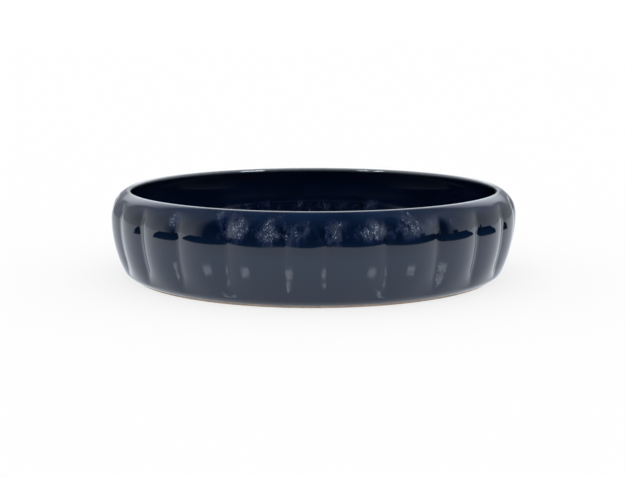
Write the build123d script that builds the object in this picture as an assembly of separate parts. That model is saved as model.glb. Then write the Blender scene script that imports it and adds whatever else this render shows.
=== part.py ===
from build123d import *
from dataclasses import dataclass
import math
import os

# Ikebana suiban: a wide, low stoneware basin for flower arranging, with a fluted wall and a navy glaze.
# Sizes are millimetres and degrees. The origin is under the centre of the foot, +Z is up, the front is -Y.

# Overall sizes, over the glaze
belly_diameter = 300.0
overall_height = 64.0
belly_height = 45.0

# Outline of the crests, from the belly down to the foot and up to the lip
heel_inset = 8.2
heel_height = 7.0
glaze_edge_inset = 13.0
glaze_edge_height = 2.0
shoulder_inset = 1.25
shoulder_height = 52.3
mouth_inset = 15.0
lip_roll_radius = 2.0

# Lobes of the wall, with the grooves between them
lobe_count = 24
groove_depth = 3.0
groove_half_width = 2.6
groove_foot_fade = 15.0
groove_top_fade = 9.0
smooth_band_height = 3.5
front_lobe_angle = -1.9
front_lobe_narrowing = 3.1

# Clay
wall_thickness = 7.5
floor_thickness = 7.0
floor_corner_radius = 12.0
foot_ring_height = 5.2
foot_ring_width = 12.0
foot_bare_inset = 1.0
foot_edge_bevel = 0.6

# Glaze
glaze_thickness = 0.7
rim_coat_depth = 9.0

# Where the lobed sections lie: shares of the height from the foot ring to the belly, then to the fade-out
lower_section_shares = (0.0, 0.12, 0.28, 0.6, 1.0)
upper_section_shares = (0.45, 0.68, 0.86, 1.0)

# Values that follow from the sizes above
belly_radius = belly_diameter / 2
mouth_radius = belly_radius - mouth_inset
floor_top = foot_ring_height + floor_thickness
lobe_top = overall_height - smooth_band_height
rim_coat_end = overall_height - rim_coat_depth
total_thickness = wall_thickness + 2 * glaze_thickness
full_turn = 360
half_pitch = math.pi / lobe_count
half_groove = groove_half_width / belly_radius


@dataclass(frozen=True)
class OutlineArc:
    """An arc of an outline in the plane of radius (X) and height (Y), bulging away from the axis."""

    centre: Vector
    radius: float
    low: Vector
    high: Vector

    def inset(self, depth):
        """The same arc on a surface that lies this deep under it."""
        share = (self.radius - depth) / self.radius
        low = self.centre + (self.low - self.centre) * share
        high = self.centre + (self.high - self.centre) * share
        return OutlineArc(self.centre, self.radius - depth, low, high)

    def radius_at(self, height):
        """Distance from the vertical axis at a height."""
        return self.centre.X + math.sqrt(self.radius**2 - (height - self.centre.Y) ** 2)

    def cut_below(self, height):
        """What is left of the arc above a height."""
        return OutlineArc(self.centre, self.radius, Vector(self.radius_at(height), height), self.high)

    def cut_above(self, height):
        """What is left of the arc below a height."""
        return OutlineArc(self.centre, self.radius, self.low, Vector(self.radius_at(height), height))

    def edge(self):
        """The arc as an edge in the XZ plane."""
        chord_middle = (self.low + self.high) / 2
        middle = self.centre + (chord_middle - self.centre).normalized() * self.radius
        return Edge.make_three_point_arc(upright(self.low), upright(middle), upright(self.high))


def upright(point):
    """A point of radius and height, placed in the XZ plane."""
    return Vector(point.X, 0, point.Y)


def straight(start, end):
    """A straight edge between two points of radius and height."""
    return Edge.make_line(upright(start), upright(end))


def turned_solid(section):
    """The solid that a closed half section makes when it turns about the vertical axis."""
    return Solid.revolve(section, full_turn, Axis.Z)


# Outline of the glazed surface


def arc_from_belly(belly, end):
    """The arc that is upright at the belly and passes through another point."""
    inset = belly.X - end.X
    rise = end.Y - belly.Y
    radius = (inset**2 + rise**2) / (2 * inset)
    centre = Vector(belly.X - radius, belly.Y)
    return OutlineArc(centre, radius, min(belly, end, key=height_of), max(belly, end, key=height_of))


def height_of(point):
    """The height of a point of radius and height."""
    return point.Y


def outer_outline():
    """The arcs of the crests from the edge of the glaze to the lip: heel, flank, upper flank, shoulder."""
    belly = Vector(belly_radius, belly_height)
    flank = arc_from_belly(belly, Vector(belly_radius - heel_inset, heel_height))
    glaze_edge = Vector(belly_radius - glaze_edge_inset, glaze_edge_height)
    inward = (flank.centre - flank.low).normalized()
    chord = glaze_edge - flank.low
    heel_radius = chord.dot(chord) / (2 * chord.dot(inward))
    heel = OutlineArc(flank.low + inward * heel_radius, heel_radius, glaze_edge, flank.low)
    upper = arc_from_belly(belly, Vector(belly_radius - shoulder_inset, shoulder_height))
    inward = (upper.centre - upper.high).normalized()
    across = upper.high - lip_centre()
    shoulder_radius = (lip_roll_radius**2 - across.dot(across)) / (2 * (across.dot(inward) + lip_roll_radius))
    shoulder_centre = upper.high + inward * shoulder_radius
    lip_start = lip_centre() + (lip_centre() - shoulder_centre).normalized() * lip_roll_radius
    shoulder = OutlineArc(shoulder_centre, shoulder_radius, upper.high, lip_start)
    return [heel, flank, upper, shoulder]


def lip_centre():
    """Centre of the roll of the lip."""
    return Vector(mouth_radius + lip_roll_radius, overall_height - lip_roll_radius)


def inner_outline():
    """The arcs of the glazed inside from the floor to the lip: corner, lower wall, upper wall."""
    outer_flank = outer_outline()[1]
    belly = Vector(belly_radius - total_thickness, belly_height)
    lower_radius = outer_flank.radius - total_thickness
    corner_height = floor_top + glaze_thickness + floor_corner_radius
    reach = math.sqrt((lower_radius - floor_corner_radius) ** 2 - (belly_height - corner_height) ** 2)
    corner_centre = Vector(outer_flank.centre.X + reach, corner_height)
    outward = (corner_centre - outer_flank.centre).normalized()
    corner_top = outer_flank.centre + outward * lower_radius
    corner_start = Vector(corner_centre.X, floor_top + glaze_thickness)
    corner = OutlineArc(corner_centre, floor_corner_radius, corner_start, corner_top)
    lower = OutlineArc(outer_flank.centre, lower_radius, corner_top, belly)
    rise = lip_centre().Y - belly_height
    lean = belly.X - lip_centre().X
    upper_radius = (lean**2 + rise**2 - lip_roll_radius**2) / (2 * (lean + lip_roll_radius))
    upper_centre = Vector(belly.X - upper_radius, belly_height)
    lip_end = upper_centre + (lip_centre() - upper_centre).normalized() * upper_radius
    upper = OutlineArc(upper_centre, upper_radius, belly, lip_end)
    return [corner, lower, upper]


def radius_at(arcs, height):
    """Distance from the vertical axis to an outline at a height."""
    for arc in arcs:
        if height <= arc.high.Y:
            return arc.radius_at(height)
    return arcs[-1].high.X


# Lobed sections of the wall


def groove_angles():
    """Angles of the grooves about the axis, from the front; the front lobe is narrow, the back one wide."""
    angles = []
    for number in range(lobe_count):
        side = -1 if number < lobe_count / 2 else 1
        shift = math.radians(front_lobe_angle + side * front_lobe_narrowing / 2)
        angles.append(half_pitch * (2 * number + 1) + shift)
    return angles


def around(radius, angle, height):
    """A point at a radius and at an angle from the front."""
    return Vector(radius * math.sin(angle), -radius * math.cos(angle), height)


def groove_depth_at(height):
    """Depth of the grooves at a height; they fade out at the foot ring and in the shoulder."""
    rise = min((height - foot_ring_height) / groove_foot_fade, 1)
    fall = min((lobe_top - height) / groove_top_fade, 1)
    quarter_turn = math.pi / 2
    return groove_depth * math.sin(quarter_turn * rise) * math.sin(quarter_turn * fall)


def joint_radius(crest, groove):
    """Where the crown of a lobe of the usual width runs into its groove, with a shared tangent."""
    half_crown = half_pitch - half_groove
    swing = (crest - groove) / (2 * math.sin(half_pitch / 2))
    pivot = Vector(swing * math.sin(half_pitch / 2), -swing * math.cos(half_pitch / 2))
    ray = Vector(math.cos(half_crown), math.sin(half_crown))
    to_crest = Vector(crest, 0) - pivot
    along = pivot.dot(ray)
    aside = pivot.X * ray.Y - pivot.Y * ray.X
    return along + math.sqrt(to_crest.dot(to_crest) - aside**2)


def lobed_section(arcs, height, depth_under):
    """The closed outline of the wall at a height, on a surface that lies a depth under the glaze."""
    crest = radius_at([arc.inset(depth_under) for arc in arcs], height)
    groove = crest - groove_depth_at(height)
    joint = joint_radius(crest, groove)
    angles = groove_angles()
    before_first = angles[-1] - 2 * math.pi
    edges = []
    for previous, angle in zip([before_first] + angles, angles):
        start = around(joint, previous + half_groove, height)
        top = around(crest, (previous + angle) / 2, height)
        end = around(joint, angle - half_groove, height)
        bottom = around(groove, angle, height)
        next_start = around(joint, angle + half_groove, height)
        edges.append(Edge.make_three_point_arc(start, top, end))
        edges.append(Edge.make_three_point_arc(end, bottom, next_start))
    return Wire(edges)


def section_heights():
    """Heights of the lobed sections, from the foot ring to where the lobes have faded out."""
    lower = [foot_ring_height + share * (belly_height - foot_ring_height) for share in lower_section_shares]
    upper = [belly_height + share * (lobe_top - belly_height) for share in upper_section_shares]
    return lower + upper


def lobed_body(depth_under):
    """The full body inside the lobed surface that lies a depth under the glaze."""
    arcs = outer_outline()
    sections = [lobed_section(arcs, height, depth_under) for height in section_heights()]
    return Solid.make_loft(sections, ruled=True)


# Pieces of clay


def cavity_arcs():
    """The arcs of the inside of the clay, under the glaze, from the floor up to the lip."""
    return [arc.inset(-glaze_thickness) for arc in inner_outline()]


def make_fluted_wall():
    """The wall: lobed outside, turned inside, with a smooth shoulder and a bevelled lip under the glaze."""
    shoulder = outer_outline()[-1].inset(glaze_thickness).cut_below(lobe_top)
    corner, lower, upper = cavity_arcs()
    inner_at_top = Vector(upper.radius_at(lobe_top), lobe_top)
    collar = turned_solid(Face(Wire([
        shoulder.edge(),
        *clay_lip(),
        upper.cut_below(lobe_top).edge(),
        straight(inner_at_top, shoulder.low),
    ])))
    foot_inside = Vector(corner.low.X, foot_ring_height)
    inner_lobe_top = Vector(0, lobe_top)
    inner_bottom = Vector(0, foot_ring_height)
    hollow = turned_solid(Face(Wire([
        straight(inner_bottom, foot_inside),
        straight(foot_inside, corner.low),
        corner.edge(),
        lower.edge(),
        upper.cut_above(lobe_top).edge(),
        straight(inner_at_top, inner_lobe_top),
        straight(inner_lobe_top, inner_bottom),
    ])))
    return lobed_body(glaze_thickness) - hollow + collar


def clay_lip():
    """The lip of the clay: two bevels that meet inside the top, from the shoulder to the inside."""
    centre = lip_centre()
    corner = centre + Vector(-1, 1).normalized() * (lip_roll_radius - glaze_thickness)
    shoulder_end = outer_outline()[-1].inset(glaze_thickness).high
    inside_end = cavity_arcs()[-1].high
    return [straight(shoulder_end, corner), straight(corner, inside_end)]


def make_floor_slab():
    """The floor: a disc of clay that fills the wall up to where the corner starts to rise."""
    rim = cavity_arcs()[0].low.X
    base = Plane.XY.offset(foot_ring_height)
    return extrude(base * Circle(rim), floor_thickness)


def clay_heel():
    """The clay of the heel under the glaze, from the edge of the glaze to the top of the foot ring."""
    heel = outer_outline()[0].inset(glaze_thickness)
    return heel.cut_below(glaze_edge_height).cut_above(foot_ring_height)


def foot_radii():
    """Inner and outer radius of the foot ring where it stands."""
    outer = clay_heel().low.X - foot_bare_inset
    return outer - foot_ring_width, outer


def make_foot_ring():
    """The ring that the basin stands on, flush with the heel and bare below the edge of the glaze."""
    heel = clay_heel()
    inner, outer = foot_radii()
    corners = [
        heel.high,
        Vector(inner, foot_ring_height),
        Vector(inner, 0),
        Vector(outer, 0),
        heel.low,
    ]
    sides = [straight(start, end) for start, end in zip(corners, corners[1:])]
    section = Face(Wire(sides + [heel.edge()]))
    feet = section.vertices().sort_by(Axis.Z)[:2]
    section = section.chamfer_2d(foot_edge_bevel, foot_edge_bevel, feet)
    return turned_solid(section)


# Coats of glaze


def make_outer_glaze():
    """The outer coat, from its edge above the foot to where the lobes fade out in the shoulder."""
    skin = outer_outline()[0].cut_above(foot_ring_height)
    under = clay_heel()
    heel_band = turned_solid(Face(Wire([
        skin.edge(),
        straight(skin.high, under.high),
        under.edge(),
        straight(under.low, skin.low),
    ])))
    lobed_coat = lobed_body(0) - lobed_body(glaze_thickness)
    return lobed_coat + heel_band


def lip_roll():
    """The roll of the glazed lip, from the shoulder over the top to the inside."""
    start = outer_outline()[-1].high
    top = lip_centre() + Vector(0, lip_roll_radius)
    end = inner_outline()[-1].high
    return Edge.make_three_point_arc(upright(start), upright(top), upright(end))


def make_rim_glaze():
    """The coat of the second dip: a smooth band from the shoulder over the lip and down the inside."""
    shoulder = outer_outline()[-1].cut_below(lobe_top)
    inside = inner_outline()[-1].cut_below(rim_coat_end)
    shoulder_under = outer_outline()[-1].inset(glaze_thickness).cut_below(lobe_top)
    inside_under = cavity_arcs()[-1].cut_below(rim_coat_end)
    return turned_solid(Face(Wire([
        shoulder.edge(),
        lip_roll(),
        inside.edge(),
        straight(inside.low, inside_under.low),
        inside_under.edge(),
        *clay_lip(),
        shoulder_under.edge(),
        straight(shoulder_under.low, shoulder.low),
    ])))


def make_inner_glaze():
    """The inner coat, over the floor and up the inside to the edge of the rim's coat."""
    skin = inner_outline()
    under = cavity_arcs()
    skin[-1] = skin[-1].cut_above(rim_coat_end)
    under[-1] = under[-1].cut_above(rim_coat_end)
    skin_centre = Vector(0, skin[0].low.Y)
    under_centre = Vector(0, floor_top)
    edges = [arc.edge() for arc in skin + under]
    edges.append(straight(skin_centre, skin[0].low))
    edges.append(straight(under_centre, under[0].low))
    edges.append(straight(skin_centre, under_centre))
    edges.append(straight(skin[-1].high, under[-1].high))
    return turned_solid(Face(Wire(edges)))


def make_underside_glaze():
    """The coat under the floor, inside the foot ring."""
    base = Plane.XY.offset(foot_ring_height - glaze_thickness)
    return extrude(base * Circle(foot_radii()[0]), glaze_thickness)


pieces = {
    "fluted_wall": make_fluted_wall,
    "floor_slab": make_floor_slab,
    "foot_ring": make_foot_ring,
    "outer_glaze": make_outer_glaze,
    "rim_glaze": make_rim_glaze,
    "inner_glaze": make_inner_glaze,
    "underside_glaze": make_underside_glaze,
}

os.makedirs("parts", exist_ok=True)
for name, make in pieces.items():
    export_step(make(), f"parts/{name}.step")
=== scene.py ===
import logging
import math
from dataclasses import dataclass, replace
from enum import Enum, IntEnum

import bpy
import numpy as np
from bpy.types import Material, Mesh, Node, NodeSocket, NodeTree, Object, World
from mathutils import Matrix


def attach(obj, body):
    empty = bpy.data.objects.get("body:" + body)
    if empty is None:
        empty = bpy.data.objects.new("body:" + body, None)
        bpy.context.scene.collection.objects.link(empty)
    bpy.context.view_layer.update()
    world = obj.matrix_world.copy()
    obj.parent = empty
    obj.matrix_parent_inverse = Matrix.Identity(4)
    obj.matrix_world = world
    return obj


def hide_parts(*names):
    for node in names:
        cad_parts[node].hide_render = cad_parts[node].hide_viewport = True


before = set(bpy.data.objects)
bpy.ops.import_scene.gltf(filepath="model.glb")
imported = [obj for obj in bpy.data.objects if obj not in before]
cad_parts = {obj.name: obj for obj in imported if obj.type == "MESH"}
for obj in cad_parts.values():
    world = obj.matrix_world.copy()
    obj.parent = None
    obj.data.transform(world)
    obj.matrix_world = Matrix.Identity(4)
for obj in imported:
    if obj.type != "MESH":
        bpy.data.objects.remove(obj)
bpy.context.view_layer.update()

MM = 0.001
FULL_TURN = 2 * math.pi
QUARTER_TURN = math.pi / 2
SHARP_EDGE = math.radians(50)
TINY = 1e-9
ROOT = "root"
Pair = tuple[float, float]
Colour = tuple[float, float, float, float]
log = logging.getLogger("suiban")


class Slot(Enum):
    """Material slots of the record."""

    CLAY = "stoneware"
    GLAZE = "navy_glaze"


class Stretch(IntEnum):
    """Numbers of the outline's stretches, from the edge of the glaze on."""

    HEEL = 0
    FLANK = 1
    SHOULDER = 3
    LIP = 4
    UPPER_INSIDE = 5


class ShownIn(Enum):
    """Names of the objects in whose reflections a lamp can show."""

    FLOOR = ("floor",)
    RIM = ("rim_coat",)
    OUTSIDE = ("rim_coat", "outer_coat")


def clamped(share: float) -> float:
    """A share kept between 0 and 1."""
    return min(max(share, 0), 1)


def heading(angle: float) -> np.ndarray:
    """The unit vector of radius and height at an angle from the level."""
    return np.array((math.cos(angle), math.sin(angle)))


def bend_radius(inset: float, rise: float) -> float:
    """Radius of an arc that starts upright and lies this far in after a rise."""
    return (inset**2 + rise**2) / (2 * inset)


def around(radii: np.ndarray | float, height: float, angles: np.ndarray) -> np.ndarray:
    """Points at a height, from their distances to the axis and their angles from the front, as rows."""
    return np.stack((radii * np.sin(angles), -radii * np.cos(angles), np.full(len(angles), height)), axis=1)


def turned_rings(profile: list[Pair], columns: int) -> list[np.ndarray]:
    """The rings of points that a profile of radius and height makes when it turns about the axis."""
    turns = np.arange(columns) * FULL_TURN / columns
    return [around(radius, height, turns) for radius, height in profile]


@dataclass(frozen=True)
class Arc:
    """A round stretch of the outline, in the plane of radius and height.

    The angles are turned from the level direction away from the axis.
    """

    centre_radius: float
    centre_height: float
    radius: float
    start: float
    end: float

    @property
    def length(self) -> float:
        """Length along the arc."""
        return abs(self.end - self.start) * self.radius

    def angle_at(self, height: float) -> float:
        """Angle of the arc's point at a height."""
        return math.asin((height - self.centre_height) / self.radius)

    def at(self, share: float) -> Pair:
        """The radius and height of a point.

        Args:
            share: How far along the arc the point lies, from 0 to 1.

        Returns:
            The point's distance from the axis and its height.
        """
        angle = self.start + (self.end - self.start) * share
        radius = self.centre_radius + self.radius * math.cos(angle)
        return radius, self.centre_height + self.radius * math.sin(angle)


@dataclass(frozen=True)
class Run:
    """A straight stretch of the outline."""

    start: Pair
    end: Pair

    @property
    def length(self) -> float:
        """Length along the run."""
        return math.dist(self.start, self.end)

    def at(self, share: float) -> Pair:
        """The radius and height of a point at a share of the run."""
        return tuple(a + (b - a) * share for a, b in zip(self.start, self.end))


def spread_points(stretch: Arc | Run, steps: int) -> list[Pair]:
    """Points along a stretch in equal steps, with both its ends."""
    return [stretch.at(n / steps) for n in range(steps + 1)]


@dataclass(frozen=True)
class BasinSizes:
    """Sizes of the glazed basin, in metres and radians."""

    belly_radius: float = 150 * MM
    height: float = 64 * MM
    belly_height: float = 45 * MM
    heel_inset: float = 8.2 * MM
    heel_height: float = 7 * MM
    glaze_edge_inset: float = 13 * MM
    glaze_edge_height: float = 2 * MM
    shoulder_inset: float = 1.25 * MM
    shoulder_height: float = 52.3 * MM
    mouth_inset: float = 15 * MM
    lip_roll: float = 2 * MM
    lobe_count: int = 24
    groove_depth: float = 3 * MM
    groove_half_width: float = 2.6 * MM
    groove_foot_fade: float = 15 * MM
    groove_top_fade: float = 9 * MM
    smooth_band: float = 3.5 * MM
    front_lobe_angle: float = math.radians(-1.9)
    front_lobe_narrowing: float = math.radians(3.1)
    wall: float = 7.5 * MM
    floor: float = 7 * MM
    corner_radius: float = 12 * MM
    ring_height: float = 5.2 * MM
    ring_width: float = 12 * MM
    foot_bare_inset: float = 1 * MM
    glaze: float = 0.7 * MM
    rim_coat_depth: float = 9 * MM

    @property
    def glazed_wall(self) -> float:
        """Thickness of the wall with the glaze on both its sides."""
        return self.wall + 2 * self.glaze

    @property
    def floor_surface(self) -> float:
        """Height of the glazed floor."""
        return self.ring_height + self.floor + self.glaze

    @property
    def lobe_top(self) -> float:
        """Height where the lobes have faded into the smooth band."""
        return self.height - self.smooth_band

    @property
    def rim_coat_end(self) -> float:
        """Height inside where the coat of the rim ends."""
        return self.height - self.rim_coat_depth

    @property
    def lip_centre(self) -> Pair:
        """Radius and height of the centre of the lip's roll."""
        return self.belly_radius - self.mouth_inset + self.lip_roll, self.height - self.lip_roll


@dataclass
class GlazedOutline:
    """The half outline of the glaze: up the outside, over the lip, down the inside, to the middle."""

    sizes: BasinSizes

    def __post_init__(self) -> None:
        """Works out the stretches and how far along the outline each one starts."""
        outside = self._outside_arcs()
        inside = self._inside_arcs(outside[Stretch.FLANK])
        lip_end = inside[0].start + math.pi
        lip = Arc(*self.sizes.lip_centre, self.sizes.lip_roll, outside[-1].end, lip_end)
        floor_start = inside[-1].at(1)
        floor = Run(floor_start, (0.0, floor_start[1]))
        self.stretches = [*outside, lip, *inside, floor]
        self.starts = np.cumsum([0.0] + [stretch.length for stretch in self.stretches])

    def _outside_arcs(self) -> list[Arc]:
        """Works out the outside.

        Returns:
            The heel, flank, upper flank and shoulder, from the edge of the glaze up.
        """
        s = self.sizes
        rise = s.belly_height - s.heel_height
        radius = bend_radius(s.heel_inset, rise)
        flank = Arc(s.belly_radius - radius, s.belly_height, radius, -math.asin(rise / radius), 0.0)
        low = np.array(flank.at(0))
        edge = np.array((s.belly_radius - s.glaze_edge_inset, s.glaze_edge_height))
        inward = -heading(flank.start)
        chord = edge - low
        heel_radius = chord @ chord / (2 * chord @ inward)
        centre = low + inward * heel_radius
        heel = Arc(*centre, heel_radius, math.atan2(*(edge - centre)[::-1]), flank.start)
        rise = s.shoulder_height - s.belly_height
        radius = bend_radius(s.shoulder_inset, rise)
        upper = Arc(s.belly_radius - radius, s.belly_height, radius, 0.0, math.asin(rise / radius))
        high = np.array(upper.at(1))
        inward = -heading(upper.end)
        across = high - np.array(s.lip_centre)
        shoulder_radius = (s.lip_roll**2 - across @ across) / (2 * (across @ inward + s.lip_roll))
        centre = high + inward * shoulder_radius
        shoulder_end = math.atan2(*(np.array(s.lip_centre) - centre)[::-1])
        return [heel, flank, upper, Arc(*centre, shoulder_radius, upper.end, shoulder_end)]

    def _inside_arcs(self, flank: Arc) -> list[Arc]:
        """Works out the inside.

        Args:
            flank: The outside's flank, which the lower wall follows.

        Returns:
            The upper wall, lower wall and floor corner, from the lip down.
        """
        s = self.sizes
        belly = s.belly_radius - s.glazed_wall
        lower_radius = flank.radius - s.glazed_wall
        corner_height = s.floor_surface + s.corner_radius
        drop = s.belly_height - corner_height
        reach = math.sqrt((lower_radius - s.corner_radius) ** 2 - drop**2)
        turn = -math.atan2(drop, reach)
        lip_radius, lip_height = s.lip_centre
        rise = lip_height - s.belly_height
        lean = belly - lip_radius
        upper_radius = (lean**2 + rise**2 - s.lip_roll**2) / (2 * (lean + s.lip_roll))
        upper_start = math.atan2(rise, lip_radius - (belly - upper_radius))
        return [
            Arc(belly - upper_radius, s.belly_height, upper_radius, upper_start, 0.0),
            Arc(flank.centre_radius, s.belly_height, lower_radius, 0.0, turn),
            Arc(flank.centre_radius + reach, corner_height, s.corner_radius, turn, -QUARTER_TURN),
        ]

    def at(self, distance: float) -> Pair:
        """The radius and height of a point.

        Args:
            distance: How far along the outline it lies from the edge of the glaze.

        Returns:
            Its distance from the axis and its height.
        """
        number = int(np.searchsorted(self.starts, distance, side="right")) - 1
        number = min(max(number, 0), len(self.stretches) - 1)
        stretch = self.stretches[number]
        return stretch.at((distance - self.starts[number]) / stretch.length)

    def distance_to(self, number: Stretch, height: float) -> float:
        """How far along the outline a height on one of its arcs lies."""
        arc = self.stretches[number]
        return self.starts[number] + abs(arc.angle_at(height) - arc.start) * arc.radius


@dataclass(frozen=True)
class Wave:
    """A wave round the basin: its crests, its strength, its phase, and its turn from the table to the rim."""

    crests: int
    strength: float
    phase: float
    twist: float

    def at(self, angles: np.ndarray, climb: float) -> np.ndarray:
        """Its values at some angles and at a share of the basin's height."""
        return self.strength * np.sin(self.crests * angles + self.phase + self.twist * climb)


@dataclass
class FlutedSkin:
    """The surface of the glaze, with its lobes, its grooves and the slight unevenness of handwork."""

    sizes: BasinSizes
    step_along: float = 0.02 * MM
    step_around: float = 0.0003
    uneven: float = 0.06 * MM
    waves: tuple[Wave, ...] = (Wave(2, 1.0, 1.1, 0.0), Wave(5, 0.7, 0.0, 2.3), Wave(11, 0.5, 0.8, -3.1))

    def __post_init__(self) -> None:
        """Prepares the outline and the angles of the grooves."""
        sizes = self.sizes
        self.outline = GlazedOutline(sizes)
        self.half_pitch = math.pi / sizes.lobe_count
        self.half_groove = sizes.groove_half_width / sizes.belly_radius
        self.fluted_end = self.outline.distance_to(Stretch.SHOULDER, sizes.lobe_top)
        numbers = np.arange(sizes.lobe_count)
        sides = np.where(numbers < sizes.lobe_count / 2, -1, 1)
        shift = sizes.front_lobe_angle + sides * sizes.front_lobe_narrowing / 2
        self.grooves = self.half_pitch * (2 * numbers + 1) + shift

    def columns(self, per_crown: int, per_groove: int) -> np.ndarray:
        """Angles of the mesh's columns, close together in the grooves.

        Args:
            per_crown: Columns on each crown.
            per_groove: Columns in each groove.

        Returns:
            The angles once round, rising.
        """
        previous = np.concatenate(([self.grooves[-1] - FULL_TURN], self.grooves[:-1]))
        angles = []
        for before, after in zip(previous, self.grooves):
            start, end = before + self.half_groove, after - self.half_groove
            angles.append(np.linspace(start, end, per_crown, endpoint=False))
            angles.append(np.linspace(end, after + self.half_groove, per_groove, endpoint=False))
        return np.concatenate(angles)

    def groove_depth_at(self, height: float) -> float:
        """Depth of the grooves, which fade out at the foot and in the shoulder.

        Args:
            height: Height of the section.

        Returns:
            The depth under the crowns.
        """
        s = self.sizes
        rise = clamped((height - s.ring_height) / s.groove_foot_fade)
        fall = clamped((s.lobe_top - height) / s.groove_top_fade)
        return s.groove_depth * math.sin(QUARTER_TURN * rise) * math.sin(QUARTER_TURN * fall)

    def joint_radius(self, crest: float, groove: float) -> float:
        """Where a crown runs into its groove, with a shared tangent.

        Args:
            crest: Radius of the crown's middle.
            groove: Radius of the groove's bottom.

        Returns:
            The radius at the joint.
        """
        half_crown = self.half_pitch - self.half_groove
        swing = (crest - groove) / (2 * math.sin(self.half_pitch / 2))
        pivot = swing * math.sin(self.half_pitch / 2), -swing * math.cos(self.half_pitch / 2)
        ray = math.cos(half_crown), math.sin(half_crown)
        reach = math.hypot(crest - pivot[0], pivot[1])
        along = pivot[0] * ray[0] + pivot[1] * ray[1]
        aside = pivot[0] * ray[1] - pivot[1] * ray[0]
        return along + math.sqrt(reach**2 - aside**2)

    def lobed_radii(self, crest: float, depth: float, angles: np.ndarray) -> np.ndarray:
        """The wall's distance from the axis round a level section.

        Args:
            crest: Radius of the crowns.
            depth: Depth of the grooves.
            angles: Where to work it out.

        Returns:
            One radius for each angle.
        """
        if depth < TINY:
            return np.full(len(angles), crest)
        bottom = crest - depth
        joint = self.joint_radius(crest, bottom)
        turned = np.mod(angles - self.grooves[0], FULL_TURN) + self.grooves[0]
        number = np.searchsorted(self.grooves, turned, side="right") - 1
        ends = np.append(self.grooves, self.grooves[0] + FULL_TURN)
        before, after = ends[number], ends[number + 1]
        half_crown = (after - before) / 2 - self.half_groove
        centre = (crest**2 - joint**2) / (2 * (crest - joint * np.cos(half_crown)))
        off = turned - (before + after) / 2
        bulge = np.maximum((crest - centre) ** 2 - (centre * np.sin(off)) ** 2, 0)
        crown = centre * np.cos(off) + np.sqrt(bulge)
        off = np.minimum(turned - before, after - turned)
        level = 2 * (joint * math.cos(self.half_groove) - bottom)
        pivot = (joint**2 - bottom**2) / (level if abs(level) > TINY else TINY)
        hollow = np.maximum((pivot - bottom) ** 2 - (pivot * np.sin(off)) ** 2, 0)
        groove = pivot * np.cos(off) + math.copysign(1, bottom - pivot) * np.sqrt(hollow)
        return np.where(off < self.half_groove, groove, crown)

    def unevenness(self, height: float, angles: np.ndarray) -> np.ndarray:
        """How far the surface lies inside its true outline, as handwork does.

        Args:
            height: Height of the section.
            angles: Where to work it out.

        Returns:
            One depth for each angle, never below zero.
        """
        climb = height / self.sizes.height
        mean_depth = sum(wave.strength for wave in self.waves)
        return self.uneven * (mean_depth + sum(wave.at(angles, climb) for wave in self.waves))

    def section(self, distance: float, angles: np.ndarray) -> np.ndarray:
        """Points of the surface round one level section.

        Args:
            distance: How far along the outline the section lies.
            angles: Angles about the axis, from the front.

        Returns:
            Points as rows of x, y and z.
        """
        radius, height = self.outline.at(distance)
        depth = self.groove_depth_at(height) if distance < self.fluted_end else 0.0
        radii = self.lobed_radii(radius, depth, angles)
        radii -= self.unevenness(height, angles) * clamped(radius / self.sizes.belly_radius)
        return around(radii, height, angles)

    def normals(self, distance: float, angles: np.ndarray) -> np.ndarray:
        """Outward unit normals of the surface round one level section.

        Args:
            distance: How far along the outline the section lies.
            angles: Angles about the axis, from the front.

        Returns:
            Unit vectors as rows.
        """
        along = self.section(distance + self.step_along, angles)
        along -= self.section(distance - self.step_along, angles)
        aside = self.section(distance, angles + self.step_around)
        aside -= self.section(distance, angles - self.step_around)
        normal = np.cross(aside, along)
        return normal / np.linalg.norm(normal, axis=1, keepdims=True)


def band(low: int, high: int, count: int, closed: bool = True) -> np.ndarray:
    """Quads between two rows of points.

    Args:
        low: Number of the first row.
        high: Number of the second row.
        count: Points in a row.
        closed: Whether the rows run all round.

    Returns:
        The numbers of each quad's corners.
    """
    first = np.arange(count if closed else count - 1)
    after = (first + 1) % count
    start, end = low * count, high * count
    return np.stack((start + first, start + after, end + after, end + first), axis=1)


def add_object(name: str, points: np.ndarray, faces: list[list[int]], finish: Material) -> Object:
    """Makes an object of one material.

    Args:
        name: Its name.
        points: Its points, as rows.
        faces: The numbers of each face's corners.
        finish: Its material.

    Returns:
        The object.
    """
    mesh = bpy.data.meshes.new(name)
    mesh.from_pydata(points.tolist(), [], faces)
    mesh.update()
    mesh.materials.append(finish)
    made = bpy.data.objects.new(name, mesh)
    bpy.context.collection.objects.link(made)
    return made


def add_rings(name: str, rings: list[np.ndarray], finish: Material, gap: int | None = None) -> Object:
    """Makes a closed object of rings, each joined to the next and the last to the first.

    Args:
        name: Its name.
        rings: Its rings of points.
        finish: Its material.
        gap: Number of a ring that isn't joined to the next; both of them are capped instead.

    Returns:
        The object.
    """
    rows, count = len(rings), len(rings[0])
    points = np.concatenate(rings)
    joined = [band(row, (row + 1) % rows, count) for row in range(rows) if row != gap]
    faces = np.concatenate(joined).tolist()
    if gap is not None:
        ends = gap, (gap + 1) % rows
        sides = band(*ends, count).reshape(-1, 2, 2)
        for number, end in enumerate(ends):
            faces += [[*side, len(points)] for side in sides[:, number].tolist()]
            points = np.append(points, [rings[end].mean(axis=0)], axis=0)
    return add_object(name, points, faces, finish)


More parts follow.
